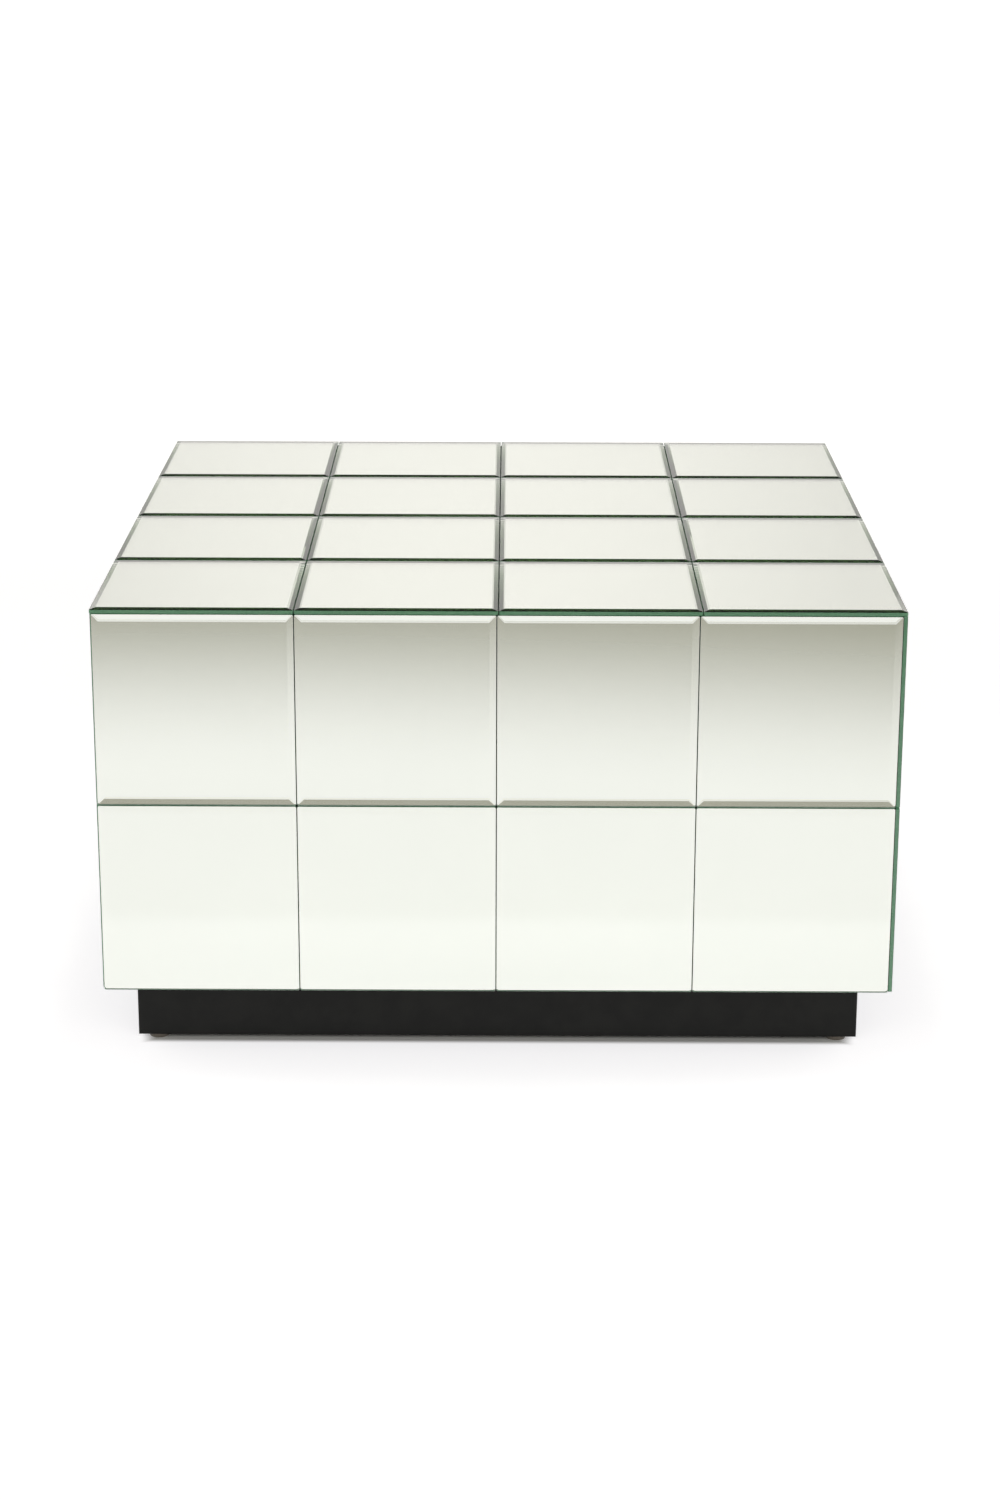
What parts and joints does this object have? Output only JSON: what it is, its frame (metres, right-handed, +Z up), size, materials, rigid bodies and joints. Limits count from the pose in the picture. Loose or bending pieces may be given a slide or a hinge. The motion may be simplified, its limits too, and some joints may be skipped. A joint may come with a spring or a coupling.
{
  "type": "coffee table",
  "caption": "Low square block coffee table clad in bevelled mirror tiles, standing on a recessed black plinth.",
  "frame": {"origin": "centre of the footprint, on the floor", "axes": "+Z up; the front, which the picture faces, towards -Y; +X to the right seen from the front"},
  "size_m": [0.802, 0.802, 0.466],
  "materials": {
    "mirror_glass": "silvered float glass, polished face and bevels, green at the ground edges",
    "carcass_board": "black-faced fibreboard, matt",
    "plinth_paint": "fibreboard in sprayed matt black paint",
    "felt": "pressed grey-brown felt",
    "screw_steel": "yellow zinc plate"
  },
  "bodies": {
    "root": {"top_tile_1_1": "mirror_glass", "top_tile_1_2": "mirror_glass", "top_tile_1_3": "mirror_glass", "top_tile_1_4": "mirror_glass", "top_tile_2_1": "mirror_glass", "top_tile_2_2": "mirror_glass", "top_tile_2_3": "mirror_glass", "top_tile_2_4": "mirror_glass", "top_tile_3_1": "mirror_glass", "top_tile_3_2": "mirror_glass", "top_tile_3_3": "mirror_glass", "top_tile_3_4": "mirror_glass", "top_tile_4_1": "mirror_glass", "top_tile_4_2": "mirror_glass", "top_tile_4_3": "mirror_glass", "top_tile_4_4": "mirror_glass", "front_tile_1_1": "mirror_glass", "front_tile_1_2": "mirror_glass", "front_tile_1_3": "mirror_glass", "front_tile_1_4": "mirror_glass", "front_tile_2_1": "mirror_glass", "front_tile_2_2": "mirror_glass", "front_tile_2_3": "mirror_glass", "front_tile_2_4": "mirror_glass", "right_tile_1_1": "mirror_glass", "right_tile_1_2": "mirror_glass", "right_tile_1_3": "mirror_glass", "right_tile_1_4": "mirror_glass", "right_tile_2_1": "mirror_glass", "right_tile_2_2": "mirror_glass", "right_tile_2_3": "mirror_glass", "right_tile_2_4": "mirror_glass", "back_tile_1_1": "mirror_glass", "back_tile_1_2": "mirror_glass", "back_tile_1_3": "mirror_glass", "back_tile_1_4": "mirror_glass", "back_tile_2_1": "mirror_glass", "back_tile_2_2": "mirror_glass", "back_tile_2_3": "mirror_glass", "back_tile_2_4": "mirror_glass", "left_tile_1_1": "mirror_glass", "left_tile_1_2": "mirror_glass", "left_tile_1_3": "mirror_glass", "left_tile_1_4": "mirror_glass", "left_tile_2_1": "mirror_glass", "left_tile_2_2": "mirror_glass", "left_tile_2_3": "mirror_glass", "left_tile_2_4": "mirror_glass", "carcass_top": "carcass_board", "carcass_bottom": "carcass_board", "carcass_front": "carcass_board", "carcass_back": "carcass_board", "carcass_left": "carcass_board", "carcass_right": "carcass_board", "plinth_front": "plinth_paint", "plinth_back": "plinth_paint", "plinth_left": "plinth_paint", "plinth_right": "plinth_paint", "felt_pads": "felt", "wood_screws": "screw_steel"}
  },
  "joints": []
}
